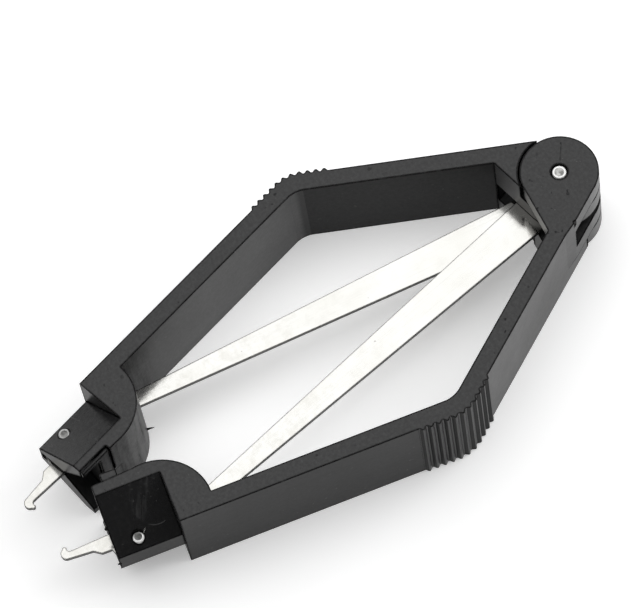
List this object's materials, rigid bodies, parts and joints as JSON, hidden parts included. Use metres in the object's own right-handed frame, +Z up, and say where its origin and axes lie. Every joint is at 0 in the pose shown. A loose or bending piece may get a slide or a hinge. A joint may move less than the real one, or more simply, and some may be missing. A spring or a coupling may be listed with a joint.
{
  "type": "chip extractor tongs",
  "caption": "Diamond-shaped chip extractor tongs: two bent plastic arms on a pivot pin, each with a flat steel blade that ends in a hook beyond its wedge-shaped jaw.",
  "frame": {"origin": "middle of the tool's outline in plan, on the plane of its lower faces", "axes": "+Z up along the pivot pin, +Y along the tool towards the hinge, -Y towards the hooks, +X towards the right handle"},
  "size_m": [0.0628, 0.1302, 0.02],
  "materials": {
    "moulding": "dark grey moulded plastic, satin",
    "blade_steel": "bright rolled sheet",
    "pin_steel": "turned, bright"
  },
  "bodies": {
    "right_side": {"right_handle": "moulding", "right_blade": "blade_steel", "right_jaw_pin": "pin_steel", "pivot_pin": "pin_steel"},
    "left_side": {"left_handle": "moulding", "left_blade": "blade_steel", "left_jaw_pin": "pin_steel"}
  },
  "joints": [
    {"name": "handle_hinge", "type": "hinge", "parent": "right_side", "child": "left_side", "pos_m": [0, 0.05733, 0.01], "axis": [0, 0, -1], "range_deg": [-0.8, 18]}
  ]
}
